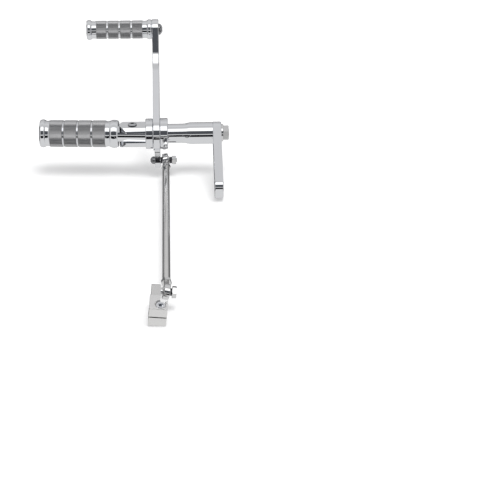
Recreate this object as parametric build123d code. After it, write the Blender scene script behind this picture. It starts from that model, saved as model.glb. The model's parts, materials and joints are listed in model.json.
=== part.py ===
# Left-hand forward control of a motorcycle: a folding footpeg on a clevis axle, carried by
# a frame bracket, with the gear-shift lever, its toe peg, the tie rod and the splined clamp lever.
# Millimetres. X runs along the axle towards the motorcycle, Y forwards, Z up.
# The work is laid out from the axle's axis and the middle of the shift arm, and is moved at
# the end so that the origin is the upper frame bolt's hole, on the bracket's inner face.
from build123d import *
from math import acos, atan2, cos, hypot, radians, sin, sqrt
import os

# Fits and small edges
running_gap = 0.05      # radial, shaft in bore, pieces that turn
seat_gap = 0.02         # radial or between faces, pieces that are fastened together
side_gap = 0.15         # between flat faces that turn against each other
edge_break = 0.6        # bevel on polished edges and turned ends
fine_break = 0.3
collar_round = 1.0      # rounding of the flange's and the collar's rims
past = 1.0              # how far a cut runs past the face that it enters

# Screw heads and nuts
button_rim = 0.35       # straight part of a domed head, as a share of its height
button_floor = 0.45     # floor of its socket, as a share of its height
nut_bevel = 0.9         # turned corner of a nut, as a share of what its corners stand out
nut_bevel_slope = 0.55  # height of that bevel over its width
socket_af = 5.0         # hexagon sockets of the toe peg and pinch screws

# Axle: clevis head, flange, journal and threaded end, one turned piece
journal_d = 16.0
clevis_d = 31.0
flange_d = 36.0
flange_width = 8.65
clevis_length = 31.1    # flange face to the round tip of the ears
slot_height = 12.0      # slot for the peg's tongue
axle_thread_d = 10.0
journal_short = 0.5     # the journal ends this far before the bracket
axle_end_bare = 0.4     # thread that shows past the nut

# Fold pivot, a low screw on the milled top of the clevis, threaded into its lower ear
pivot_d = 6.4
clevis_flat_z = 11.5    # milled top, from the axle's axis
pivot_head_d = 10.7
pivot_head_h = 2.4
pivot_key_af = 4.0
pivot_short = 1.5       # the screw ends this far above the clevis's underside

# Footpeg, turned from bar, seen from its inner end outwards
peg_gap = 1.1           # ears' tips to the peg's inner face
peg_bead_d = 33.2
peg_neck_d = 29.8
peg_band_d = 31.3       # root of the knurl
peg_groove_d = 29.9
peg_inner_bead = 9.9
peg_outer_bead = 6.8
peg_neck = 5.1
peg_band = 15.1
peg_groove = 1.8
band_count = 4
bead_lip = 1.4          # fall of a bead from its crest to its edges, both pegs
tongue_height = 11.4
tongue_d = 22.9
peg_sweep_deg = 3.5     # the peg stops this far forward of square

# Shift arm, a flat lever cut from plate
arm_thickness = 8.0
hub_r = 20.0
arm_half_width = 13.0
toe_end_r = 12.2
bend_y, bend_z = 94.4, 48.4
toe_y, toe_z = 116.5, 91.6
bend_inner_r = 40.0
bend_outer_r = 62.0
bushing_d = 20.0
toe_bolt_d = 8.0
toe_head_d = 13.5
toe_head_h = 5.2
toe_thread_depth = 22.0
toe_bolt_short = 2.0    # the screw ends this far before the bottom of its thread

# Lug under the hub, with the tie rod's bolt
lug_reach = 32.4        # axle axis to lug bolt axis
lug_lean_deg = 9.0      # it leans backwards from straight down
lug_r = 8.5
lug_thickness = 6.6
lug_fillet = 5.0

# Toe peg
toe_bead_d = 24.4
toe_neck_d = 20.8
toe_band_d = 21.6
toe_groove_d = 20.6
toe_bead = 6.2
toe_neck = 5.5
toe_band = 12.3
toe_groove = 2.4

# Stop collar, spacer sleeve, bracket and the nut that clamps them on the axle
collar_d = 36.6
collar_width = 9.3
collar_screw_d = 5.0
collar_screw_show = 1.2
collar_key_af = 2.5
collar_key_depth = 3.0
sleeve_length = 53.2
sleeve_small_d = 22.7
sleeve_big_d = 25.7
flare_start = 16.6      # from the collar
flare_length = 11.9
plate_thickness = 10.0
bracket_r = 13.2
bracket_reach = 94.8    # axle axis to the far end
bracket_drop_deg = 27.0
bracket_corner_r = 9.5
frame_hole_d = 10.5
frame_hole_first = 42.2
frame_hole_pitch = 38.1
frame_hole_break = 0.8
washer_d = 20.6
washer_h = 2.4
axle_nut_af = 16.0
axle_nut_h = 6.6

# Ball joints, tie rod and their screws
link_bolt_d = 4.8
ball_d = 11.1
ball_width = 8.0
race_gap = 0.1
ring_d = 15.9
ring_width = 6.35
rod_end_neck_d = 7.2
rod_end_neck = 13.0     # ball centre to the start of the thread
stud_length = 36.0      # ball centre to the end of the thread
jam_af = 9.5
jam_h = 5.0
upper_jam_at = 20.0     # ball centre to jam nut
lower_jam_at = 18.5
rod_d = 8.2
rod_length = 344.1      # ball centre to ball centre
rod_hole_extra = 2.0    # tapped holes run this far past the studs
ball_x = 10.5           # middle of the shift arm to the rod
upper_twist_deg = -10.0
lower_twist_deg = 13.0
spacer_d = 7.6          # no wider than the flats of the ball
button_head_d = 9.1
button_head_h = 5.6
button_key_af = 2.8
lug_washer_h = 3.1
lug_nut_af = 9.5
lug_nut_h = 4.8
bolt_bare = 0.8
lower_head_af = 11.1
lower_head_h = 4.4
lower_washer_h = 1.5

# Clamp lever, laid out from its rod-end bolt
clamp_reach = 38.0      # rod-end bolt to the split end
clamp_height = 23.4
clamp_width = 17.9
clamp_left = -6.3       # outer side, from the middle of the shift arm
clamp_arm_left = -4.8
clamp_arm_width = 9.2
clamp_arm_r = 6.8
clamp_block = 20.5      # length of the full-width part
clamp_relief = 7.0      # bevel that clears the rod end
clamp_corner_r = 0.8
spline_d = 15.0
spline_at = 18.6        # from the split end
spline_teeth = 24
spline_depth = 0.6
spline_groove = 0.9
slit = 1.4
pinch_at = 7.0          # from the split end
pinch_side = 2.0        # from the middle of the block, towards the rod end
pinch_d = 6.0
pinch_head_d = 10.0
pinch_head_h = 6.0
pinch_seat_d = 12.0
pinch_seat_depth = 6.6
pinch_short = 1.0       # the screw ends this far inside the lever
clamp_drop_deg = 16.0
clamp_roll_deg = 5.5

# Places along the axle, worked out from the sizes above
arm_left = -arm_thickness / 2
arm_right = arm_thickness / 2
flange_right = arm_left - side_gap
flange_left = flange_right - flange_width
pivot_x = flange_left - clevis_length + clevis_d / 2
ear_tip = pivot_x - clevis_d / 2
collar_left = arm_right + side_gap
collar_right = collar_left + collar_width
collar_middle = (collar_left + collar_right) / 2
sleeve_right = collar_right + sleeve_length
plate_right = sleeve_right + plate_thickness
washer_right = plate_right + washer_h
nut_right = washer_right + axle_nut_h
axle_end = nut_right + axle_end_bare

# The bracket's direction, and the origin at its upper frame hole
bar_y = -cos(radians(bracket_drop_deg))
bar_z = -sin(radians(bracket_drop_deg))
origin_at = (plate_right, bar_y * frame_hole_first, bar_z * frame_hole_first)

# Both balls, the rod ends on them, and what stands beside each ball on its bolt
lug_y = -lug_reach * sin(radians(lug_lean_deg))
lug_z = -lug_reach * cos(radians(lug_lean_deg))
upper_end = Pos(ball_x, lug_y, lug_z)
lower_ball_at = Pos(ball_x, lug_y - rod_length, lug_z)
lower_end = lower_ball_at * Rot(Z=180)
clamp_place = lower_ball_at * Rot(Y=clamp_roll_deg) * Rot(X=clamp_drop_deg)
beside_ball = ball_width / 2 + side_gap
lug_left = arm_right - lug_thickness
lug_washer_at = ball_x + beside_ball
lug_nut_at = lug_washer_at + lug_washer_h
lower_head_at = beside_ball + lower_washer_h
clamp_arm_start = clamp_arm_left - ball_x
clamp_arm_end = clamp_arm_start + clamp_arm_width
clamp_right = clamp_left + clamp_width - ball_x
clamp_middle = clamp_right - clamp_width / 2
pinch_x = clamp_middle + pinch_side

link_hole_d = link_bolt_d + 2 * seat_gap
along_x = Rot(Y=90)
on_base = (Align.CENTER, Align.CENTER, Align.MIN)
hanging = (Align.CENTER, Align.CENTER, Align.MAX)


def rod_x(diameter, start, end, y=0, z=0):
    """Plain round bar along X from start to end."""
    return Pos(start, y, z) * along_x * Cylinder(diameter / 2, end - start, align=on_base)


def ring_x(outer, bore, start, end, y=0, z=0):
    """Washer, bush or collar along X."""
    return rod_x(outer, start, end, y, z) - rod_x(bore, start - past, end + past, y, z)


def hexagon_bar(af, height):
    return extrude(RegularPolygon(af / 2, 6, major_radius=False), height)


def hexagon(af, height, bore):
    """Nut or bolt head with turned corners, standing on Z = 0; a bore of 0 leaves it whole."""
    corner = af / sqrt(3)
    bevel = (corner - af / 2) * nut_bevel
    turned = Cylinder(corner, height, align=on_base)
    nut = hexagon_bar(af, height) & chamfer(turned.edges(), bevel * nut_bevel_slope, bevel)
    if bore:
        nut -= Cylinder(bore / 2, 3 * height)
    return nut


def button_screw(head_d, head_h, shank_d, length, key_af):
    """Domed screw: its head stands above Z = 0 and its shank hangs below."""
    dome_h = head_h * (1 - button_rim)
    dome_r = ((head_d / 2) ** 2 + dome_h ** 2) / (2 * dome_h)
    head = Cylinder(head_d / 2, head_h, align=on_base)
    head &= Pos(0, 0, head_h - dome_r) * Sphere(dome_r)
    head -= Pos(0, 0, head_h * button_floor) * hexagon_bar(key_af, head_h)
    shank = Cylinder(shank_d / 2, length, align=hanging)
    return head + chamfer(shank.edges().group_by(Axis.Z)[0], fine_break)


def grip(bead_in, bead_out, neck, band, groove, bead_d, neck_d, band_d, groove_d):
    """Turned grip along -X from X = 0: bead, waist, bands with round grooves, waist, bead."""
    end_r = bead_d / 2 - bead_lip
    band_r = band_d / 2
    curves = [Line((0, 0), (0, end_r))]
    x = -bead_in
    curves.append(ThreePointArc((0, end_r), (x / 2, bead_d / 2), (x, end_r)))
    curves.append(ThreePointArc((x, end_r), (x - neck / 2, neck_d / 2), (x - neck, band_r)))
    x -= neck
    for index in range(band_count):
        curves.append(Line((x, band_r), (x - band, band_r)))
        x -= band
        if index < band_count - 1:
            low = (x - groove / 2, groove_d / 2)
            curves.append(ThreePointArc((x, band_r), low, (x - groove, band_r)))
            x -= groove
    curves.append(ThreePointArc((x, band_r), (x - neck / 2, neck_d / 2), (x - neck, end_r)))
    x -= neck
    curves.append(ThreePointArc((x, end_r), (x - bead_out / 2, bead_d / 2), (x - bead_out, end_r)))
    x -= bead_out
    curves.append(Line((x, end_r), (x, 0)))
    curves.append(Line((x, 0), (0, 0)))
    return revolve(make_face(Curve() + curves), Axis.X)


def swept_peg(shape):
    """Turns a shape about the fold pivot to where the peg stops."""
    return Pos(pivot_x, 0, 0) * Rot(Z=-peg_sweep_deg) * Pos(-pivot_x, 0, 0) * shape


def footpeg():
    """Grip, and a tongue whose square heel stops against the bottom of the clevis slot."""
    inner_face = ear_tip - peg_gap
    barrel = Pos(inner_face, 0, 0) * grip(
        peg_inner_bead, peg_outer_bead, peg_neck, peg_band, peg_groove,
        peg_bead_d, peg_neck_d, peg_band_d, peg_groove_d)
    turned = rod_x(tongue_d, inner_face - past, flange_left + past)
    flats = Pos(pivot_x, 0, 0) * Box(2 * clevis_length, 2 * clevis_d, tongue_height)
    heel_reach = flange_left - pivot_x - 2 * side_gap
    plan = Pos(pivot_x, 0, 0) * Cylinder(heel_reach, clevis_d)
    heel = Box(heel_reach, clevis_d, clevis_d, align=(Align.MIN, Align.MAX, Align.CENTER))
    plan += Pos(pivot_x, 0, 0) * heel
    plan += Pos(pivot_x - clevis_length / 2, 0, 0) * Box(clevis_length, clevis_d, clevis_d)
    peg = swept_peg(barrel) + (swept_peg(turned & flats) & plan)
    return peg - Pos(pivot_x, 0, 0) * Cylinder(pivot_d / 2 + running_gap, 2 * clevis_d)


def axle_clevis():
    head = rod_x(clevis_d, ear_tip, flange_left + past)
    plan = Pos(pivot_x, 0, 0) * Cylinder(clevis_d / 2, 2 * clevis_d)
    shoulder = flange_left + past - pivot_x
    plan += Pos(pivot_x + shoulder / 2, 0, 0) * Box(shoulder, 2 * clevis_d, 2 * clevis_d)
    head &= plan
    on_face = (Align.MAX, Align.CENTER, Align.CENTER)
    slot = Box(2 * clevis_length, 2 * clevis_d, slot_height, align=on_face)
    head -= Pos(flange_left, 0, 0) * slot
    above = Box(2 * clevis_length, 2 * clevis_d, clevis_d, align=(Align.MAX, Align.CENTER, Align.MIN))
    head -= Pos(flange_left, 0, clevis_flat_z) * above
    head -= Pos(pivot_x, 0, 0) * Cylinder(pivot_d / 2 + seat_gap, 2 * clevis_d)
    flange = rod_x(flange_d, flange_left, flange_right)
    flange = fillet(flange.edges().filter_by(GeomType.CIRCLE), collar_round)
    journal_end = sleeve_right - journal_short
    journal = rod_x(journal_d, flange_right - past, journal_end)
    stud = rod_x(axle_thread_d, journal_end - past, axle_end)
    stud = chamfer(stud.edges().group_by(Axis.X)[-1], edge_break)
    return head + flange + journal + stud


def pivot_bolt():
    length = clevis_flat_z + clevis_d / 2 - pivot_short
    screw = button_screw(pivot_head_d, pivot_head_h, pivot_d, length, pivot_key_af)
    return Pos(pivot_x, 0, clevis_flat_z) * screw


def tangent_point(centre, radius, point, side):
    """Where a line from the point touches the circle; side is +1 or -1."""
    dy = point[0] - centre[0]
    dz = point[1] - centre[1]
    turn = atan2(dz, dy) + side * acos(radius / hypot(dy, dz))
    return (centre[0] + radius * cos(turn), centre[1] + radius * sin(turn))


def arm_outline():
    """Side view of the shift arm: hub, bent and tapered bar, toe end."""
    lower = atan2(bend_z, bend_y)
    upper = atan2(toe_z - bend_z, toe_y - bend_y)
    across = (lower + upper) / 2
    reach = arm_half_width / cos((upper - lower) / 2)
    inner = (bend_y - reach * sin(across), bend_z + reach * cos(across))
    outer = (bend_y + reach * sin(across), bend_z - reach * cos(across))
    toe = (toe_y, toe_z)
    hub_top = tangent_point((0, 0), hub_r, inner, 1)
    hub_under = tangent_point((0, 0), hub_r, outer, -1)
    toe_top = tangent_point(toe, toe_end_r, inner, -1)
    toe_under = tangent_point(toe, toe_end_r, outer, 1)
    hub_back = (-hub_r * cos(lower), -hub_r * sin(lower))
    toe_tip = (toe_y + toe_end_r * cos(upper), toe_z + toe_end_r * sin(upper))
    rim = [
        FilletPolyline(hub_top, inner, toe_top, radius=bend_inner_r),
        ThreePointArc(toe_top, toe_tip, toe_under),
        FilletPolyline(toe_under, outer, hub_under, radius=bend_outer_r),
        ThreePointArc(hub_under, hub_back, hub_top)]
    return make_face(Curve() + rim)


def lug_outline():
    """Tab that hangs from the hub, with filleted roots; the hub's disc is part of it."""
    lug = Pos(0, -lug_reach / 2) * Rectangle(2 * lug_r, lug_reach)
    lug += Pos(0, -lug_reach) * Circle(lug_r)
    joined = lug + Circle(hub_r)
    roots = joined.vertices().filter_by(lambda v: abs(abs(v.X) - lug_r) < fine_break and v.Y > -hub_r)
    return fillet(roots, lug_fillet)


def shift_arm():
    arm = extrude(Plane.YZ.offset(arm_left) * arm_outline(), arm_thickness)
    arm = chamfer(arm.faces().filter_by(Axis.X).edges(), edge_break)
    leaning = Plane.YZ.offset(lug_left) * Rot(Z=-lug_lean_deg)
    lug = extrude(leaning * lug_outline(), lug_thickness)
    lug = chamfer(lug.faces().filter_by(Axis.X).edges(), fine_break)
    arm += lug
    start = arm_left - past
    end = arm_right + past
    arm -= rod_x(bushing_d + 2 * seat_gap, start, end)
    arm -= rod_x(link_hole_d, start, end, lug_y, lug_z)
    return arm - rod_x(toe_bolt_d + 2 * seat_gap, start, end, toe_y, toe_z)


def arm_bushing():
    return ring_x(bushing_d, journal_d + 2 * running_gap, arm_left, arm_right)


def stop_collar():
    collar = rod_x(collar_d, collar_left, collar_right)
    collar = fillet(collar.edges().filter_by(GeomType.CIRCLE), collar_round)
    collar -= rod_x(journal_d + 2 * seat_gap, collar_left - past, collar_right + past)
    hole = Cylinder(collar_screw_d / 2 + seat_gap, collar_d, align=hanging)
    return collar - Pos(collar_middle, 0, 0) * hole


def collar_screw():
    """Set screw under the collar; its point bears on the journal."""
    length = (collar_d - journal_d) / 2 + collar_screw_show - seat_gap
    screw = Cylinder(collar_screw_d / 2, length, align=hanging)
    screw = chamfer(screw.edges().filter_by(GeomType.CIRCLE), fine_break)
    screw -= Pos(0, 0, -length) * hexagon_bar(collar_key_af, collar_key_depth)
    return Pos(collar_middle, 0, -journal_d / 2 - seat_gap) * screw


def spacer_sleeve():
    bore_r = journal_d / 2 + seat_gap
    small_r = sleeve_small_d / 2
    big_r = sleeve_big_d / 2
    end = sleeve_length - seat_gap
    flare_end = flare_start + flare_length
    middle = flare_start + flare_length / 2
    wall = [
        Line((0, bore_r), (0, small_r - fine_break)),
        Line((0, small_r - fine_break), (fine_break, small_r)),
        Line((fine_break, small_r), (flare_start, small_r)),
        Bezier((flare_start, small_r), (middle, small_r), (middle, big_r), (flare_end, big_r)),
        Line((flare_end, big_r), (end, big_r)),
        Line((end, big_r), (end, bore_r)),
        Line((end, bore_r), (0, bore_r))]
    return Pos(collar_right, 0, 0) * revolve(make_face(Curve() + wall), Axis.X)


def frame_hole(index):
    """Centre of a frame bolt's hole, as Y and Z."""
    along = frame_hole_first + index * frame_hole_pitch
    return bar_y * along, bar_z * along


def bracket():
    bar = Pos(bracket_reach / 2, 0) * Rectangle(bracket_reach, 2 * bracket_r)
    bar = fillet(bar.vertices().group_by(Axis.X)[-1], bracket_corner_r)
    bar += Circle(bracket_r)
    side_view = Plane(origin=(sleeve_right, 0, 0), x_dir=(0, bar_y, bar_z), z_dir=(1, 0, 0))
    plate = extrude(side_view * bar, plate_thickness)
    plate = chamfer(plate.faces().filter_by(Axis.X).edges(), edge_break)
    start = sleeve_right - past
    end = plate_right + past
    plate -= rod_x(axle_thread_d + 2 * seat_gap, start, end)
    for index in range(2):
        y, z = frame_hole(index)
        plate -= rod_x(frame_hole_d, start, end, y, z)
        mouth = Cone(frame_hole_d / 2 + frame_hole_break, frame_hole_d / 2, frame_hole_break)
        plate -= Pos(sleeve_right + frame_hole_break / 2, y, z) * along_x * mouth
    return plate


def axle_washer():
    washer = rod_x(washer_d, plate_right, washer_right)
    washer = chamfer(washer.edges().filter_by(GeomType.CIRCLE), fine_break)
    return washer - rod_x(axle_thread_d + 2 * seat_gap, plate_right - past, washer_right + past)


def axle_nut():
    nut = hexagon(axle_nut_af, axle_nut_h, axle_thread_d + 2 * seat_gap)
    return Pos(washer_right, 0, 0) * along_x * nut


def toe_peg():
    barrel = grip(
        toe_bead, toe_bead, toe_neck, toe_band, toe_groove,
        toe_bead_d, toe_neck_d, toe_band_d, toe_groove_d)
    barrel -= rod_x(toe_bolt_d + 2 * seat_gap, -toe_thread_depth, past)
    return Pos(arm_left, toe_y, toe_z) * barrel


def toe_peg_bolt():
    length = arm_thickness + toe_thread_depth - toe_bolt_short
    screw = button_screw(toe_head_d, toe_head_h, toe_bolt_d, length, socket_af)
    return Pos(arm_right, toe_y, toe_z) * along_x * screw


def lug_bolt():
    length = lug_nut_at + lug_nut_h + bolt_bare - lug_left
    screw = button_screw(button_head_d, button_head_h, link_bolt_d, length, button_key_af)
    return Pos(lug_left, lug_y, lug_z) * Rot(Y=-90) * screw


def lug_spacer():
    return ring_x(spacer_d, link_hole_d, arm_right, ball_x - beside_ball, lug_y, lug_z)


def lug_washer():
    return ring_x(spacer_d, link_hole_d, lug_washer_at, lug_nut_at, lug_y, lug_z)


def lug_nut():
    return Pos(lug_nut_at, lug_y, lug_z) * along_x * hexagon(lug_nut_af, lug_nut_h, link_hole_d)


def ball():
    """Drilled ball with flats, its bore along X, centred on the origin."""
    sphere = Sphere(ball_d / 2) & Box(ball_width, 2 * ball_d, 2 * ball_d)
    return sphere - rod_x(link_bolt_d + 2 * running_gap, -ball_d, ball_d)


def rod_end(twist):
    """Eye around the ball and its threaded stud, which points along -Y."""
    eye = rod_x(ring_d, -ring_width / 2, ring_width / 2)
    eye = chamfer(eye.edges().filter_by(GeomType.CIRCLE), edge_break)
    inside_eye = ring_d / 4
    taper = Cone(rod_end_neck_d / 2, link_bolt_d / 2, rod_end_neck - inside_eye, align=on_base)
    stud = Cylinder(link_bolt_d / 2, stud_length, align=on_base)
    stud = chamfer(stud.edges().group_by(Axis.Z)[-1], fine_break)
    body = eye + Rot(X=90) * (Pos(0, 0, inside_eye) * taper + stud)
    return Rot(Y=twist) * (body - Sphere(ball_d / 2 + race_gap))


def jam_nut(at, twist):
    return Rot(Y=twist) * Rot(X=90) * Pos(0, 0, at) * hexagon(jam_af, jam_h, link_hole_d)


def tie_rod():
    start = upper_jam_at + jam_h
    length = rod_length - start - lower_jam_at - jam_h
    rod = Cylinder(rod_d / 2, length, align=on_base)
    rod = chamfer(rod.edges().filter_by(GeomType.CIRCLE), edge_break)
    upper_depth = stud_length - start + rod_hole_extra
    lower_depth = stud_length - lower_jam_at - jam_h + rod_hole_extra
    rod -= Cylinder(link_hole_d / 2, upper_depth, align=on_base)
    rod -= Pos(0, 0, length) * Cylinder(link_hole_d / 2, lower_depth, align=hanging)
    return upper_end * Rot(X=90) * Pos(0, 0, start) * rod


def clamp_side_view(start, width, outline):
    """Extrudes a side view (Y, Z from the rod-end bolt) between two X stations."""
    return extrude(Plane.YZ.offset(start) * outline, width)


def spline_cutter():
    """Round bore with straight grooves around it, along X, at the origin."""
    reach = 2 * clamp_width
    cutter = rod_x(spline_d, -reach, reach)
    root = spline_d / 2 - spline_depth
    groove = Polygon(
        (root, -spline_groove / 2), (root, spline_groove / 2), (root + 2 * spline_depth, 0),
        align=None)
    for index in range(spline_teeth):
        turn = 360 / spline_teeth * (index + 0.5)
        cutter += extrude(Plane.YZ.offset(-reach) * Rot(Z=turn) * groove, 2 * reach)
    return cutter


def clamp_lever():
    """Lever with a rod-end arm and a split block that pinches the splined shaft."""
    split_end = -clamp_reach
    bore_y = split_end + spline_at
    pinch_y = split_end + pinch_at
    top = clamp_height / 2
    arm = make_hull((Circle(clamp_arm_r) + Pos(bore_y, 0) * Circle(top)).edges())
    lever = clamp_side_view(clamp_arm_start, clamp_arm_width, arm)
    block = Pos(split_end + clamp_block / 2, 0) * Rectangle(clamp_block, clamp_height)
    block = fillet(block.vertices(), clamp_corner_r)
    block = clamp_side_view(clamp_left - ball_x, clamp_width, block)
    corner = Pos(clamp_right, split_end + clamp_block, 0) * Rot(Z=45)
    block -= corner * Box(3 * clamp_relief, sqrt(2) * clamp_relief, 2 * clamp_height)
    lever += block
    lever -= Pos(0, bore_y, 0) * spline_cutter()
    saw = Box(3 * clamp_width, spline_at + past, slit)
    lever -= Pos(0, split_end - past + (spline_at + past) / 2, 0) * saw
    lever -= Pos(pinch_x, pinch_y, 0) * Cylinder(pinch_d / 2 + seat_gap, 2 * clamp_height)
    seat = Cylinder(pinch_seat_d / 2, clamp_height, align=on_base)
    lever -= Pos(pinch_x, pinch_y, top - pinch_seat_depth) * seat
    lever -= rod_x(link_hole_d, -3 * clamp_width, 3 * clamp_width)
    return clamp_place * lever


def pinch_screw():
    head = Cylinder(pinch_head_d / 2, pinch_head_h, align=on_base)
    head = chamfer(head.edges().group_by(Axis.Z)[-1], edge_break)
    head -= Pos(0, 0, pinch_head_h / 2) * hexagon_bar(socket_af, pinch_head_h)
    length = clamp_height - pinch_seat_depth - pinch_short
    shank = Cylinder(pinch_d / 2, length, align=hanging)
    shank = chamfer(shank.edges().group_by(Axis.Z)[0], fine_break)
    seat_z = clamp_height / 2 - pinch_seat_depth
    return clamp_place * Pos(pinch_x, pinch_at - clamp_reach, seat_z) * (head + shank)


def lower_spacer():
    return clamp_place * ring_x(spacer_d, link_hole_d, clamp_arm_end, -beside_ball)


def lower_washer():
    return clamp_place * ring_x(spacer_d, link_hole_d, beside_ball, lower_head_at)


def lower_bolt():
    head = Pos(lower_head_at, 0, 0) * along_x * hexagon(lower_head_af, lower_head_h, 0)
    shank = rod_x(link_bolt_d, clamp_arm_start + fine_break, lower_head_at + past)
    return clamp_place * (head + shank)


pieces = {
    "footpeg": footpeg(),
    "axle_clevis": axle_clevis(),
    "pivot_bolt": pivot_bolt(),
    "shift_arm": shift_arm(),
    "arm_bushing": arm_bushing(),
    "toe_peg": toe_peg(),
    "toe_peg_bolt": toe_peg_bolt(),
    "stop_collar": stop_collar(),
    "collar_screw": collar_screw(),
    "spacer_sleeve": spacer_sleeve(),
    "bracket": bracket(),
    "axle_washer": axle_washer(),
    "axle_nut": axle_nut(),
    "lug_bolt": lug_bolt(),
    "lug_spacer": lug_spacer(),
    "lug_washer": lug_washer(),
    "lug_nut": lug_nut(),
    "upper_ball": upper_end * ball(),
    "upper_rod_end": upper_end * rod_end(upper_twist_deg),
    "upper_jam_nut": upper_end * jam_nut(upper_jam_at, upper_twist_deg),
    "tie_rod": tie_rod(),
    "lower_jam_nut": lower_end * jam_nut(lower_jam_at, -lower_twist_deg),
    "lower_rod_end": lower_end * rod_end(-lower_twist_deg),
    "lower_ball": clamp_place * ball(),
    "lower_spacer": lower_spacer(),
    "lower_washer": lower_washer(),
    "lower_bolt": lower_bolt(),
    "clamp_lever": clamp_lever(),
    "pinch_screw": pinch_screw()}

os.makedirs("parts", exist_ok=True)
to_origin = Pos(-origin_at[0], -origin_at[1], -origin_at[2])
for name, piece in pieces.items():
    export_step(to_origin * piece, f"parts/{name}.step")
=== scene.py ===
# %% [markdown]
# # The left forward control of a motorcycle, finished in Blender
#
# The solid pieces of this control come from its CAD model, at real size and in place: a folding
# footpeg on its clevis, the shift arm with its toe peg, the frame bracket, the tie rod and the
# clamp lever. This lesson gives every one of them its finish. It adds what is too fine for the
# solids, such as knurling and threads, and sets up the table, the light and the camera of a
# product photograph. The model is loaded first, because every place below is read from it.

# %% Load the model
import json
from math import cos, pi, radians, sin, tan

import bpy
import numpy as np
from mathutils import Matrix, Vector


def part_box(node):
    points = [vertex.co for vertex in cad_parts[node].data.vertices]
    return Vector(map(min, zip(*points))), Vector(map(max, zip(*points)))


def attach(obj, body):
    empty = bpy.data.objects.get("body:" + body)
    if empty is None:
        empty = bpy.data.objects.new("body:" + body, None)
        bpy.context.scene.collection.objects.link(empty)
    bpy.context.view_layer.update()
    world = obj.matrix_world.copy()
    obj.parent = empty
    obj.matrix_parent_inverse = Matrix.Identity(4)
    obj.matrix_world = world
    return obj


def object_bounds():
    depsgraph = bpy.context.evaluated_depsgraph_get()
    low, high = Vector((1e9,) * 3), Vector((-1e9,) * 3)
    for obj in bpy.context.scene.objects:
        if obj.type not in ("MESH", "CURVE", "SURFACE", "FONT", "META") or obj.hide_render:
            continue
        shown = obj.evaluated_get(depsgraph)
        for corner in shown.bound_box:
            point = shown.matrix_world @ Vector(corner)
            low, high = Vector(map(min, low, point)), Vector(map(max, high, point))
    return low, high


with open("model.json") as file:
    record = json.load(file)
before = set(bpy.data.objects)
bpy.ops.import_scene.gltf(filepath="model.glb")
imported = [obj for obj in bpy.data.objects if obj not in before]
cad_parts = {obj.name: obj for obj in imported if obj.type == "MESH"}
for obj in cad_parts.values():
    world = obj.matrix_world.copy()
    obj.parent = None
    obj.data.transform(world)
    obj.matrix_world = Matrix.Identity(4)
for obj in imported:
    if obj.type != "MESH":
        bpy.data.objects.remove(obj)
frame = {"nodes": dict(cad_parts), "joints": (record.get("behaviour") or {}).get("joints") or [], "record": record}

MM = 0.001


def in_mm(lengths, digits=1):
    """Lengths in metres as rounded millimetres, for printing."""
    return [round(length / MM, digits) for length in lengths]


model_low, model_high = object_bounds()
nodes = frame["nodes"]
joints = {joint["name"]: joint for joint in frame["joints"]}
print("model size in mm:", in_mm(model_high - model_low))

# %% [markdown]
# ## Places
#
# The joints say where the axes are: the axle, the fold pivot of the footpeg and the two ball
# joints. The grips are turned parts, so a start, a direction and a few lengths place everything
# on them. The footpeg doesn't stand quite square to the motorcycle: it points a little forwards.

# %% Axes and lengths, in metres
axle = Vector(joints["shift_swing"]["pos_m"])
pivot = Vector(joints["peg_fold"]["pos_m"])
upper_ball = Vector(joints["upper_joint_turn"]["pos_m"])
lower_ball = Vector(joints["shaft_lever_turn"]["pos_m"])

along_axle = Vector((1, 0, 0))
forwards = Vector((0, 1, 0))
backwards = Vector((0, -1, 0))

peg_sweep = radians(3.5)
pivot_to_peg_mm = 16.6
peg_direction = Vector((-cos(peg_sweep), sin(peg_sweep), 0))
peg_start = pivot + peg_direction * pivot_to_peg_mm * MM

toe_direction = Vector((-1, 0, 0))
toe_low, toe_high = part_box("toe_peg")
toe_start = Vector((toe_high.x, (toe_low.y + toe_high.y) / 2, (toe_low.z + toe_high.z) / 2))
print("axle at", in_mm(axle), "footpeg starts at", in_mm(peg_start), "toe peg starts at", in_mm(toe_start))

# %% [markdown]
# ## Surfaces from formulas
#
# A knurl or a thread is a surface of two parameters: how far round, and how far along a closed
# profile. The points are worked out as one array, and neighbours in the array become faces. Both
# parameters close on themselves, so the piece is a watertight ring like a bent tube. A ring whose
# signed volume comes out negative is inside out, so its faces are turned round.

# %% A closed ring from a grid of points
def ring_mesh(name, points, height):
    """Mesh of a grid of points (round, along, xyz) that closes both ways.

    Face (i, j) joins points (i, j), (i+1, j), (i+1, j+1) and (i, j+1), with i and j taken modulo
    the grid's size. height is a value for each point, kept as the attribute "crest".
    """
    around, along = points.shape[:2]
    index = np.arange(around * along).reshape(around, along)
    right = np.roll(index, -1, axis=0)
    corners = np.stack([index, right, np.roll(right, -1, axis=1), np.roll(index, -1, axis=1)], axis=-1)
    corners = corners.reshape(-1, 4)
    flat = points.reshape(-1, 3)
    a, b, c, d = (flat[corners[:, k]] for k in range(4))
    one_half = np.einsum("ij,ij->i", a, np.cross(b, c)).sum()
    other_half = np.einsum("ij,ij->i", a, np.cross(c, d)).sum()
    if one_half + other_half < 0:
        corners = corners[:, ::-1]
    mesh = bpy.data.meshes.new(name)
    mesh.from_pydata(flat.tolist(), [], corners.tolist())
    crest = mesh.attributes.new("crest", "FLOAT", "POINT")
    crest.data.foreach_set("value", height.reshape(-1).astype(np.float32))
    piece = bpy.data.objects.new(name, mesh)
    bpy.context.scene.collection.objects.link(piece)
    return piece


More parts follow.
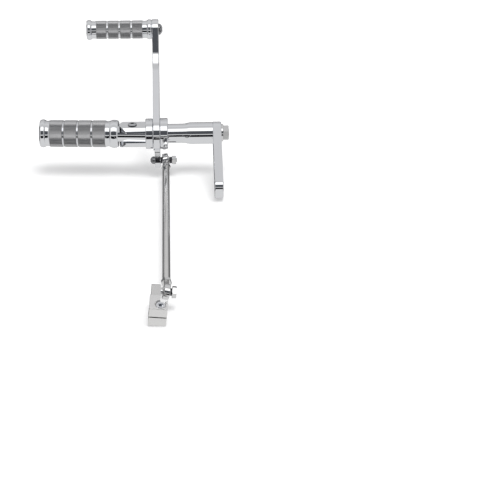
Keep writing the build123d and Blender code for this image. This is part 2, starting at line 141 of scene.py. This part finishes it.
def placed(distance, radius, turn, start, direction):
    """Points at a distance along an axis, a radius from it and a turn round it.

    point = start + distance * d + radius * (cos(turn) * s + sin(turn) * t), where d, s and t are
    at right angles and each has length 1.
    """
    d = np.array(direction.normalized())
    s = np.array(direction.orthogonal().normalized())
    t = np.cross(d, s)
    spoke = np.cos(turn)[..., None] * s + np.sin(turn)[..., None] * t
    return np.array(start) + distance[..., None] * d + radius[..., None] * spoke


# %% A sleeve round an axis
def sleeve_grid(around, rows, length):
    """Grids of u, the share of a turn, and x, the distance along the sleeve."""
    return np.meshgrid(np.arange(around) / around, np.linspace(0, length, rows + 1), indexing="ij")


def end_fade(x, length, bevel):
    """1 along the sleeve, and straight down to 0 over the last bevel at both ends."""
    return np.clip(np.minimum(x, length - x) / bevel, 0, 1)


def sleeve(name, start, direction, u, x, radius, height, bore_r):
    """Ring with the given radii outside and a plain bore inside.

    u, x, radius and height are grids of one shape. One more row of points at each end, on the
    bore and with height 0, closes the profile.
    """
    bore = np.full((len(u), 1), bore_r)
    bottom = np.zeros((len(u), 1))
    radius = np.concatenate([bore, radius, bore], axis=1)
    distance = np.concatenate([x[:, :1], x, x[:, -1:]], axis=1)
    height = np.concatenate([bottom, height, bottom], axis=1)
    turn = 2 * pi * np.repeat(u[:, :1], radius.shape[1], axis=1)
    return ring_mesh(name, placed(distance, radius, turn, start, direction), height)


# %% [markdown]
# ## Knurling
#
# A knurling tool presses two crossing families of grooves into the bar, which leaves rows of
# small pyramids that grip a boot. A bump map would do from afar, but the pyramids also roughen
# the outline of the peg, so they are real geometry here. Each family is a triangle wave along a
# helix, and the lower of the two waves is the surface.

# %% Knurled bands of both pegs
band_count = 4
knurl_pitch = 1.2 * MM
helix_angle = radians(30)
knurl_steps = 4  # rows of points to a pyramid, both ways
knurl_bevel = 0.25 * MM
knurl_skin = 0.3 * MM  # how far the bore lies under the grooves


def triangle(t):
    """1 halfway between whole numbers, 0 at them, straight in between."""
    return 1 - np.abs(2 * (t % 1) - 1)


def knurled_band(name, start, direction, length, root_r, crest_r):
    """Ring of pyramids from start along direction.

    radius = root + (crest - root) * min(triangle(n*u + m*x/L), triangle(n*u - m*x/L)), where u is
    the share of a turn, x the distance along the band and L its length. n pyramids go round it,
    one to a pitch, and m go along it, one to a pitch over the tangent of the helix angle. Near
    the two ends the height falls to zero in a bevel.
    """
    around = round(2 * pi * crest_r / knurl_pitch)
    along = round(length * tan(helix_angle) / knurl_pitch)
    u, x = sleeve_grid(around * knurl_steps, along * knurl_steps, length)
    climb = x / length * along
    wave = np.minimum(triangle(around * u + climb), triangle(around * u - climb))
    height = wave * end_fade(x, length, knurl_bevel)
    radius = root_r + (crest_r - root_r) * height
    return sleeve(name, start, direction, u, x, radius, height, root_r - knurl_skin)


def knurl_peg(name, body, start, direction, first, band, groove, root_d, crest_d):
    """All the bands of one peg; first is the distance from the peg's start to its first band."""
    bands = []
    for index in range(band_count):
        at = start + direction * (first + index * (band + groove))
        piece = knurled_band(f"{name}_{index + 1}", at, direction, band, root_d / 2, crest_d / 2)
        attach(piece, body)
        bands.append(piece)
    print(name, "bands:", len(bands), "faces each:", len(bands[0].data.polygons))
    return bands


knurls = knurl_peg(
    "peg_knurl", "folding_peg", peg_start, peg_direction,
    first=15.0 * MM, band=15.1 * MM, groove=1.8 * MM, root_d=31.4 * MM, crest_d=32.1 * MM)
knurls += knurl_peg(
    "toe_knurl", "shift_lever", toe_start, toe_direction,
    first=11.7 * MM, band=12.3 * MM, groove=2.4 * MM, root_d=21.7 * MM, crest_d=22.4 * MM)

# %% [markdown]
# ## Threads
#
# The studs and bolt ends are plain bars in the solid model. A real thread is a ridge that climbs
# along a helix: at a fixed turn, the radius is a triangle wave of the distance. Here it is a thin
# sleeve just proud of each bar, only where the thread shows.

# %% Threads that show
stud_d = 4.8 * MM
thread_pitch = 0.8 * MM
thread_ridge = 0.2 * thread_pitch
thread_bevel = 0.3 * thread_pitch
thread_around = 48  # points to a turn
thread_steps = 8  # rows of points to a pitch
thread_proud = 0.02 * MM  # how far the root stands above the plain bar
thread_skin = 0.25 * MM  # how far the bore lies under the root
rod_end_neck = 13.0 * MM  # from the ball's centre to the start of the thread
bare_tip = 0.3 * MM  # what the thread leaves free at the bolt's end


def thread(name, body, start, direction, length):
    """Helical ridge: radius = root + ridge * triangle(x/p - u), with u the share of a turn."""
    root_r = stud_d / 2 + thread_proud
    u, x = sleeve_grid(thread_around, round(thread_steps * length / thread_pitch), length)
    height = triangle(x / thread_pitch - u) * end_fade(x, length, thread_bevel)
    piece = sleeve(name, start, direction, u, x, root_r + thread_ridge * height, height, root_r - thread_skin)
    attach(piece, body)
    return piece


upper_jam_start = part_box("upper_jam_nut")[1].y
lower_jam_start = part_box("lower_jam_nut")[0].y
lug_nut_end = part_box("lug_nut")[1].x
lug_bolt_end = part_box("lug_bolt")[1].x
threads = [
    thread("upper_stud_thread", "link", upper_ball + backwards * rod_end_neck,
           backwards, upper_ball.y - rod_end_neck - upper_jam_start),
    thread("lower_stud_thread", "link", lower_ball + forwards * rod_end_neck,
           forwards, lower_jam_start - rod_end_neck - lower_ball.y),
    thread("lug_bolt_thread", "shift_lever", Vector((lug_nut_end, upper_ball.y, upper_ball.z)),
           along_axle, lug_bolt_end - lug_nut_end - bare_tip)]
print("threads:", [ridge.name for ridge in threads])

# %% [markdown]
# ## Shared effects
#
# Each finish below mixes the same few effects: grain left by grinding or brushing, haze left by
# polishing, and painted shade that keeps grooves darker than crests. Each is a node group, built
# once, with its own named inputs. A few helpers first: they make nodes and feed their inputs.

# %% Helpers for nodes
def feed(tree, target, values):
    """Feeds a node's inputs, by name or number: a socket becomes a link, the rest a plain value."""
    for label, value in values.items():
        socket = target.inputs[label]
        if isinstance(value, bpy.types.NodeSocket):
            tree.links.new(value, socket)
        else:
            socket.default_value = (*value, 1) if socket.type == "RGBA" else value


def add_node(tree, kind, values, **settings):
    """New node: the settings come first, because some of them decide which inputs it has."""
    made = tree.nodes.new(kind)
    for label, value in settings.items():
        setattr(made, label, value)
    feed(tree, made, values)
    return made


def add_math(tree, operation, first, second=0):
    """Math node whose two inputs are sockets or plain numbers."""
    return add_node(tree, "ShaderNodeMath", {0: first, 1: second}, operation=operation).outputs[0]


def span(tree, value, low, high):
    """Takes a value from 0..1 to low..high, which are sockets or numbers."""
    made = add_node(tree, "ShaderNodeMapRange", {"Value": value, "To Min": low, "To Max": high})
    return made.outputs["Result"]


def rise(tree, value, start, full):
    """0 up to start, 1 from full on, straight in between."""
    made = add_node(tree, "ShaderNodeMapRange", {"Value": value, "From Min": start, "From Max": full})
    return made.outputs["Result"]


def mix_colors(tree, share, first, second):
    """The first colour where the share is 0, the second where it is 1."""
    made = add_node(tree, "ShaderNodeMix", {"Factor": share, "A": first, "B": second}, data_type="RGBA")
    return made.outputs["Result"]


def new_group(name, inputs, outputs):
    """Empty shader node group; inputs maps a name to its default, outputs a name to its type."""
    group = bpy.data.node_groups.new(name, "ShaderNodeTree")
    for label, default in inputs.items():
        kind = "NodeSocketColor" if isinstance(default, tuple) else "NodeSocketFloat"
        socket = group.interface.new_socket(label, in_out="INPUT", socket_type=kind)
        socket.default_value = (*default, 1) if isinstance(default, tuple) else default
    for label, kind in outputs.items():
        group.interface.new_socket(label, in_out="OUTPUT", socket_type=kind)
    return group, group.nodes.new("NodeGroupInput").outputs, group.nodes.new("NodeGroupOutput")


# %% Grain: fine lines that run along one axis
def make_grain():
    """Noise squeezed across the grain: the three scales are in cycles a metre, low along it."""
    group, given, out = new_group(
        "grain", {"Along X": 40.0, "Along Y": 2500.0, "Along Z": 2500.0, "Low": 0.1, "High": 0.2},
        {"Roughness": "NodeSocketFloat", "Height": "NodeSocketFloat"})
    place = add_node(group, "ShaderNodeTexCoord", {}).outputs["Object"]
    scales = add_node(group, "ShaderNodeCombineXYZ", {axis: given[f"Along {axis}"] for axis in "XYZ"})
    squeezed = add_node(group, "ShaderNodeVectorMath", {0: place, 1: scales.outputs[0]}, operation="MULTIPLY")
    noise = add_node(group, "ShaderNodeTexNoise", {"Vector": squeezed.outputs[0], "Scale": 1, "Detail": 3})
    lines = noise.outputs["Fac"]
    feed(group, out, {"Roughness": span(group, lines, given["Low"], given["High"]), "Height": lines})
    return group


# %% Haze: soft patches where polish or plating is a little uneven
def make_haze():
    """Slow noise between two roughnesses and two colours."""
    group, given, out = new_group(
        "haze", {"Scale": 60.0, "Low": 0.03, "High": 0.08, "Light": (0.9, 0.9, 0.9), "Dark": (0.8, 0.8, 0.8)},
        {"Color": "NodeSocketColor", "Roughness": "NodeSocketFloat", "Height": "NodeSocketFloat"})
    place = add_node(group, "ShaderNodeTexCoord", {}).outputs["Object"]
    noise = add_node(group, "ShaderNodeTexNoise", {"Vector": place, "Scale": given["Scale"], "Detail": 4})
    patches = noise.outputs["Fac"]
    feed(group, out, {
        "Color": mix_colors(group, patches, given["Light"], given["Dark"]),
        "Roughness": span(group, patches, given["Low"], given["High"]),
        "Height": patches})
    return group


# %% Valley shade: painted shade between crests, bright on them
def make_valley_shade():
    """Reads the crest attribute: 0 in a groove, 1 on a crest. The groove colour is painted shade."""
    group, given, out = new_group(
        "valley_shade",
        {"Groove": (0.2, 0.2, 0.2), "Crest": (0.85, 0.85, 0.85), "Rough groove": 0.35, "Rough crest": 0.12},
        {"Color": "NodeSocketColor", "Roughness": "NodeSocketFloat"})
    crest = add_node(group, "ShaderNodeAttribute", {}, attribute_name="crest").outputs["Fac"]
    feed(group, out, {
        "Color": mix_colors(group, crest, given["Groove"], given["Crest"]),
        "Roughness": span(group, crest, given["Rough groove"], given["Rough crest"])})
    return group


grain = make_grain()
haze = make_haze()
valley_shade = make_valley_shade()
print("effects:", [group.name for group in (grain, haze, valley_shade)])

# %% [markdown]
# ## Finishes
#
# Most of this control is chrome plated, so its look is the room that it mirrors. The plating is
# nearly smooth, with a breath of haze. What differs from piece to piece is the base under it: the
# bar of the tie rod keeps its grinding lines, and zinc plated hardware is duller. Three screws
# are bright on top of their heads and dark on the sides, where shade is painted into their colour.

# %% Kinds of finish
haze_on_chrome = 55.0
haze_on_grain = 90.0
# Between these two cosines a screw head goes from painted shade on its sides to its top colour.
flank_full, top_full = 0.6, 0.9  # cosine of the angle between the surface and the screw's axis


def new_metal(name):
    """Metallic material, with its node tree and its shader."""
    material = bpy.data.materials.new(name)
    material.use_nodes = True
    shader = material.node_tree.nodes["Principled BSDF"]
    feed(material.node_tree, shader, {"Metallic": 1})
    return material, material.node_tree, shader


def bump(tree, height, distance):
    """Normal of a surface whose height, from 0 to 1, stands for a distance in metres."""
    return add_node(tree, "ShaderNodeBump", {"Height": height, "Distance": distance}).outputs["Normal"]


def effect(tree, group, values):
    """Places a node group in a material and returns its outputs."""
    return add_node(tree, "ShaderNodeGroup", values, node_tree=group).outputs


def polished(name, light, dark, low, high, wave):
    """Mirror-like plating: haze drives colour, roughness and a faint waviness."""
    material, tree, shader = new_metal(name)
    patches = effect(tree, haze, {
        "Scale": haze_on_chrome, "Low": low, "High": high, "Light": light, "Dark": dark})
    feed(tree, shader, {
        "Base Color": patches["Color"], "Roughness": patches["Roughness"],
        "Normal": bump(tree, patches["Height"], wave)})
    return material


def grained(name, light, dark, scales, low, high, depth):
    """Metal with lines along one axis: grain drives roughness and bump, haze drives colour."""
    material, tree, shader = new_metal(name)
    patches = effect(tree, haze, {"Scale": haze_on_grain, "Light": light, "Dark": dark})
    along_x, along_y, along_z = scales
    lines = effect(tree, grain, {
        "Along X": along_x, "Along Y": along_y, "Along Z": along_z, "Low": low, "High": high})
    feed(tree, shader, {
        "Base Color": patches["Color"], "Roughness": lines["Roughness"],
        "Normal": bump(tree, lines["Height"], depth)})
    return material


def flank_shaded(name, axis, top, flank, rough):
    """Screw head: bright where it faces along its axis, with painted shade on its sides."""
    material, tree, shader = new_metal(name)
    normal = add_node(tree, "ShaderNodeNewGeometry", {}).outputs["Normal"]
    facing = add_node(tree, "ShaderNodeVectorMath", {0: normal, 1: axis}, operation="DOT_PRODUCT")
    # 0 on the sides of the head, which get painted shade, and 1 on its top.
    share = rise(tree, add_math(tree, "ABSOLUTE", facing.outputs["Value"]), flank_full, top_full)
    feed(tree, shader, {"Base Color": mix_colors(tree, share, flank, top), "Roughness": rough})
    return material


def grooved(name, groove, crest, rough_groove, rough_crest):
    """Knurled or threaded metal, duller in its grooves and darker there with painted shade."""
    material, tree, shader = new_metal(name)
    shade = effect(tree, valley_shade, {
        "Groove": groove, "Crest": crest, "Rough groove": rough_groove, "Rough crest": rough_crest})
    feed(tree, shader, {"Base Color": shade["Color"], "Roughness": shade["Roughness"]})
    return material


# %% The finishes of this control
plating = {  # light and dark colour, lowest and highest roughness, height of the waves
    "chromed_aluminium": ((0.9, 0.91, 0.93), (0.86, 0.87, 0.89), 0.03, 0.07, 2e-5),
    "chromed_steel": ((0.88, 0.89, 0.91), (0.84, 0.85, 0.87), 0.04, 0.09, 1e-5)}
lined = {  # light and dark colour, grain along X, Y and Z, lowest and highest roughness, depth of the lines
    "plated_steel": ((0.88, 0.88, 0.88), (0.8, 0.8, 0.8), (900, 900, 900), 0.06, 0.14, 4e-6),
    "rod_steel": ((0.97, 0.965, 0.95), (0.88, 0.87, 0.86), (2500, 12, 2500), 0.08, 0.16, 6e-7),
    "satin_steel": ((0.96, 0.955, 0.945), (0.9, 0.895, 0.885), (1500, 120, 1500), 0.2, 0.3, 6e-6),
    "dark_steel": ((0.1, 0.1, 0.11), (0.05, 0.05, 0.055), (1200, 1200, 1200), 0.3, 0.45, 2e-5),
    "bearing_bronze": ((0.7, 0.52, 0.28), (0.55, 0.4, 0.2), (1500, 1500, 1500), 0.3, 0.45, 4e-5)}
finish = {slot: polished(slot, *values) for slot, values in plating.items()}
finish.update({slot: grained(slot, *values) for slot, values in lined.items()})

# The groove colours paint shade into the grooves; the crest colours are the metal's own.
knurl_finish = grooved("knurled_chrome", (0.3, 0.3, 0.305), (0.78, 0.78, 0.79), 0.3, 0.26)
thread_finish = grooved("plated_thread", (0.25, 0.25, 0.25), (0.7, 0.7, 0.69), 0.4, 0.2)
# Both screw finishes paint shade on the sides of the heads.
screw_up = flank_shaded("screw_upright", (0, 0, 1), (0.6, 0.61, 0.63), (0.14, 0.145, 0.155), 0.1)
screw_across = flank_shaded("screw_across", (1, 0, 0), (0.85, 0.86, 0.88), (0.3, 0.305, 0.315), 0.1)


def wear(piece, material):
    """Gives a piece one material, in place of what it came with."""
    piece.data.materials.clear()
    piece.data.materials.append(material)


slots = {part["node"]: part["material_slot"] for part in frame["record"]["subparts"]}
for name, solid in nodes.items():
    wear(solid, finish[slots[name]])
wear(nodes["pivot_bolt"], screw_up)
wear(nodes["lug_bolt"], screw_across)
wear(nodes["toe_peg_bolt"], screw_across)
for band in knurls:
    wear(band, knurl_finish)
for ridge in threads:
    wear(ridge, thread_finish)
    for face in ridge.data.polygons:
        face.use_smooth = True
print("finishes:", sorted(finish))

# %% [markdown]
# ## The room
#
# Chrome shows what stands around it, and here that is a photographer's room. A broad soft light
# hangs high on the camera's side, above the dark room behind the camera. The ceiling and the sweep
# behind the object are pale, with a darker strip at the horizon. All of these run as level bands
# from left to right, so the room is one colour ramp over an angle: 0 at the horizon behind the
# camera, 90 overhead, 180 at the horizon behind the object and -90 straight down.
#
# Sideways the bands fade into three walls, one after another as the direction turns away: a pale
# one, a nearly black one and, at the very end, a grey one. They shade what faces sideways, such as
# the flanks of the tie rod and the flat sides of the arm. The camera itself sees plain white
# behind the table.

# %% Camera angles
camera_pitch = radians(25.7)
camera_yaw = radians(2.88)
camera_roll = radians(0.2)

# %% Bands and walls of the room
room = [
    # the table, down to straight below
    (-90, (0.70, 0.70, 0.70)), (-22, (0.70, 0.70, 0.70)),
    # the dark strip past the table's near edge
    (-20, (0.012, 0.012, 0.014)), (1, (0.012, 0.012, 0.014)),
    # a pale strip, and the dark room behind the camera
    (3, (0.70, 0.70, 0.70)), (9, (0.74, 0.74, 0.74)), (11, (0.065, 0.07, 0.078)), (41, (0.085, 0.09, 0.1)),
    # the soft light
    (46, (1.4, 1.4, 1.4)), (72, (1.4, 1.4, 1.4)),
    # the ceiling
    (82, (0.57, 0.57, 0.575)), (98, (0.585, 0.585, 0.59)),
    # the sweep behind the object
    (110, (0.68, 0.68, 0.69)), (121, (0.65, 0.65, 0.66)),
    (134, (0.57, 0.57, 0.575)), (160, (0.57, 0.57, 0.575)),
    # the darker strip at its horizon
    (164, (0.40, 0.40, 0.405)), (170, (0.22, 0.22, 0.225)),
    (180, (0.15, 0.15, 0.155)), (204, (0.15, 0.15, 0.155)),
    # the table again
    (222, (0.64, 0.64, 0.64)), (270, (0.70, 0.70, 0.70))]
ramp_start = -90
walls = [  # how far sideways each starts and is full, as the sine of the angle, and its colour
    (0.56, 0.70, (0.60, 0.60, 0.605)),
    (0.78, 0.86, (0.08, 0.08, 0.085)),
    (0.91, 0.96, (0.42, 0.42, 0.425))]

# %% Room
world = bpy.data.worlds.new("studio")
bpy.context.scene.world = world
world.use_nodes = True
sky = world.node_tree

looking = add_node(sky, "ShaderNodeTexCoord", {}).outputs["Generated"]
turned = add_node(
    sky, "ShaderNodeVectorRotate", {"Vector": looking, "Angle": camera_yaw}, rotation_type="Z_AXIS")
split = add_node(sky, "ShaderNodeSeparateXYZ", {0: turned.outputs[0]})
towards_camera = add_math(sky, "MULTIPLY", split.outputs["Y"], -1)
sideways = add_math(sky, "ABSOLUTE", split.outputs["X"])
height_angle = add_math(sky, "ARCTAN2", split.outputs["Z"], towards_camera)

# The ramp starts a quarter turn below the horizon; the whole turn keeps the sum positive.
turns_up = add_math(sky, "ADD", add_math(sky, "DIVIDE", height_angle, 2 * pi), 1.25)
ramp = add_node(sky, "ShaderNodeValToRGB", {0: add_math(sky, "FRACT", turns_up)})
stops = ramp.color_ramp.elements
while len(stops) < len(room):
    stops.new(0.5)
# All positions are set before any colour, so that no colour goes to a stop that still has to move.
for stop, (degrees, _) in zip(stops, room):
    stop.position = (degrees - ramp_start) / 360
for stop, (_, color) in zip(stops, room):
    stop.color = (*color, 1)

mirrored = ramp.outputs["Color"]
for start, full, color in walls:
    mirrored = mix_colors(sky, rise(sky, sideways, start, full), mirrored, color)
seen_by_camera = add_node(sky, "ShaderNodeLightPath", {}).outputs["Is Camera Ray"]
feed(sky, sky.nodes["Background"], {"Color": mix_colors(sky, seen_by_camera, mirrored, (1, 1, 1))})
print("bands of the room:", len(room), "walls:", len(walls))

# %% [markdown]
# ## The key light
#
# The room alone would leave hardly any shadow. The photograph has one clear band of shadow below
# the axle, a little behind it and to its left, so a key light stands above, towards the camera and
# to the right. The chrome mirrors the room and not this light, which only draws the shadow.

# %% Key light
key_height = radians(72.5)
key_side = radians(9.0)
key_strength = 1.45
key_width = radians(26)  # a wide light draws a soft edge
towards_key = Vector((sin(key_side), -cos(key_height), sin(key_height))).normalized()
key_data = bpy.data.lights.new("key", "SUN")
key_data.energy = key_strength
key_data.angle = key_width
key = bpy.data.objects.new("key", key_data)
key.rotation_euler = towards_key.to_track_quat("Z", "Y").to_euler()
key.visible_glossy = False
bpy.context.scene.collection.objects.link(key)

# %% [markdown]
# ## The table
#
# The control lies on a white table that runs out of sight. A white table under this light would
# render pale grey, so the camera sees it with some light of its own added, up to plain white,
# while the shadow still darkens the rest.

# %% Table
table_z = model_low.z
table_reach = 6.0  # metres to each side of the model
table_white = 0.8
table_glow = 0.28
centre = (model_low + model_high) / 2
table_corners = [
    (centre.x + x * table_reach, centre.y + y * table_reach, table_z)
    for x, y in ((-1, -1), (1, -1), (1, 1), (-1, 1))]
table_mesh = bpy.data.meshes.new("table")
table_mesh.from_pydata(table_corners, [], [(0, 1, 2, 3)])
table = bpy.data.objects.new("table", table_mesh)
bpy.context.scene.collection.objects.link(table)
table.visible_glossy = False

table_finish = bpy.data.materials.new("table")
table_finish.use_nodes = True
table_tree = table_finish.node_tree
rays = add_node(table_tree, "ShaderNodeLightPath", {}).outputs
seen_or_mirrored = add_math(table_tree, "MAXIMUM", rays["Is Camera Ray"], rays["Is Glossy Ray"])
shown = add_math(table_tree, "MAXIMUM", seen_or_mirrored, rays["Is Transmission Ray"])
feed(table_tree, table_tree.nodes["Principled BSDF"], {
    "Base Color": (table_white, table_white, table_white), "Roughness": 1, "Specular IOR Level": 0,
    "Emission Color": (1, 1, 1), "Emission Strength": add_math(table_tree, "MULTIPLY", shown, table_glow)})
wear(table, table_finish)

# %% [markdown]
# ## The camera
#
# The photograph was taken from about 1.9 m with a long lens, looking down at the table and held
# very nearly level. The hub of the shift arm is the reference: the camera's place is given from it.

# %% Camera
lens_mm = 115.2
sensor_mm = 36.0
hub_distance = 1.9007
hub_right = 0.1115
hub_down = 0.1378
farthest_seen = 50  # metres, well past the table's far edge

back = Vector((
    -sin(camera_yaw) * cos(camera_pitch), -cos(camera_yaw) * cos(camera_pitch), sin(camera_pitch)))
right = Vector((cos(camera_yaw), -sin(camera_yaw), 0))
up = back.cross(right)
camera_data = bpy.data.cameras.new("camera")
camera_data.lens = lens_mm
camera_data.sensor_width = sensor_mm
camera_data.clip_end = farthest_seen
camera = bpy.data.objects.new("camera", camera_data)
camera.location = axle + back * hub_distance + right * hub_right - up * hub_down
camera.rotation_euler = (pi / 2 - camera_pitch, 0, -camera_yaw)
camera.rotation_euler.rotate_axis("Z", camera_roll)
bpy.context.scene.collection.objects.link(camera)
bpy.context.scene.camera = camera
bpy.context.scene.view_settings.view_transform = "Standard"
print("camera in mm at", in_mm(camera.location))
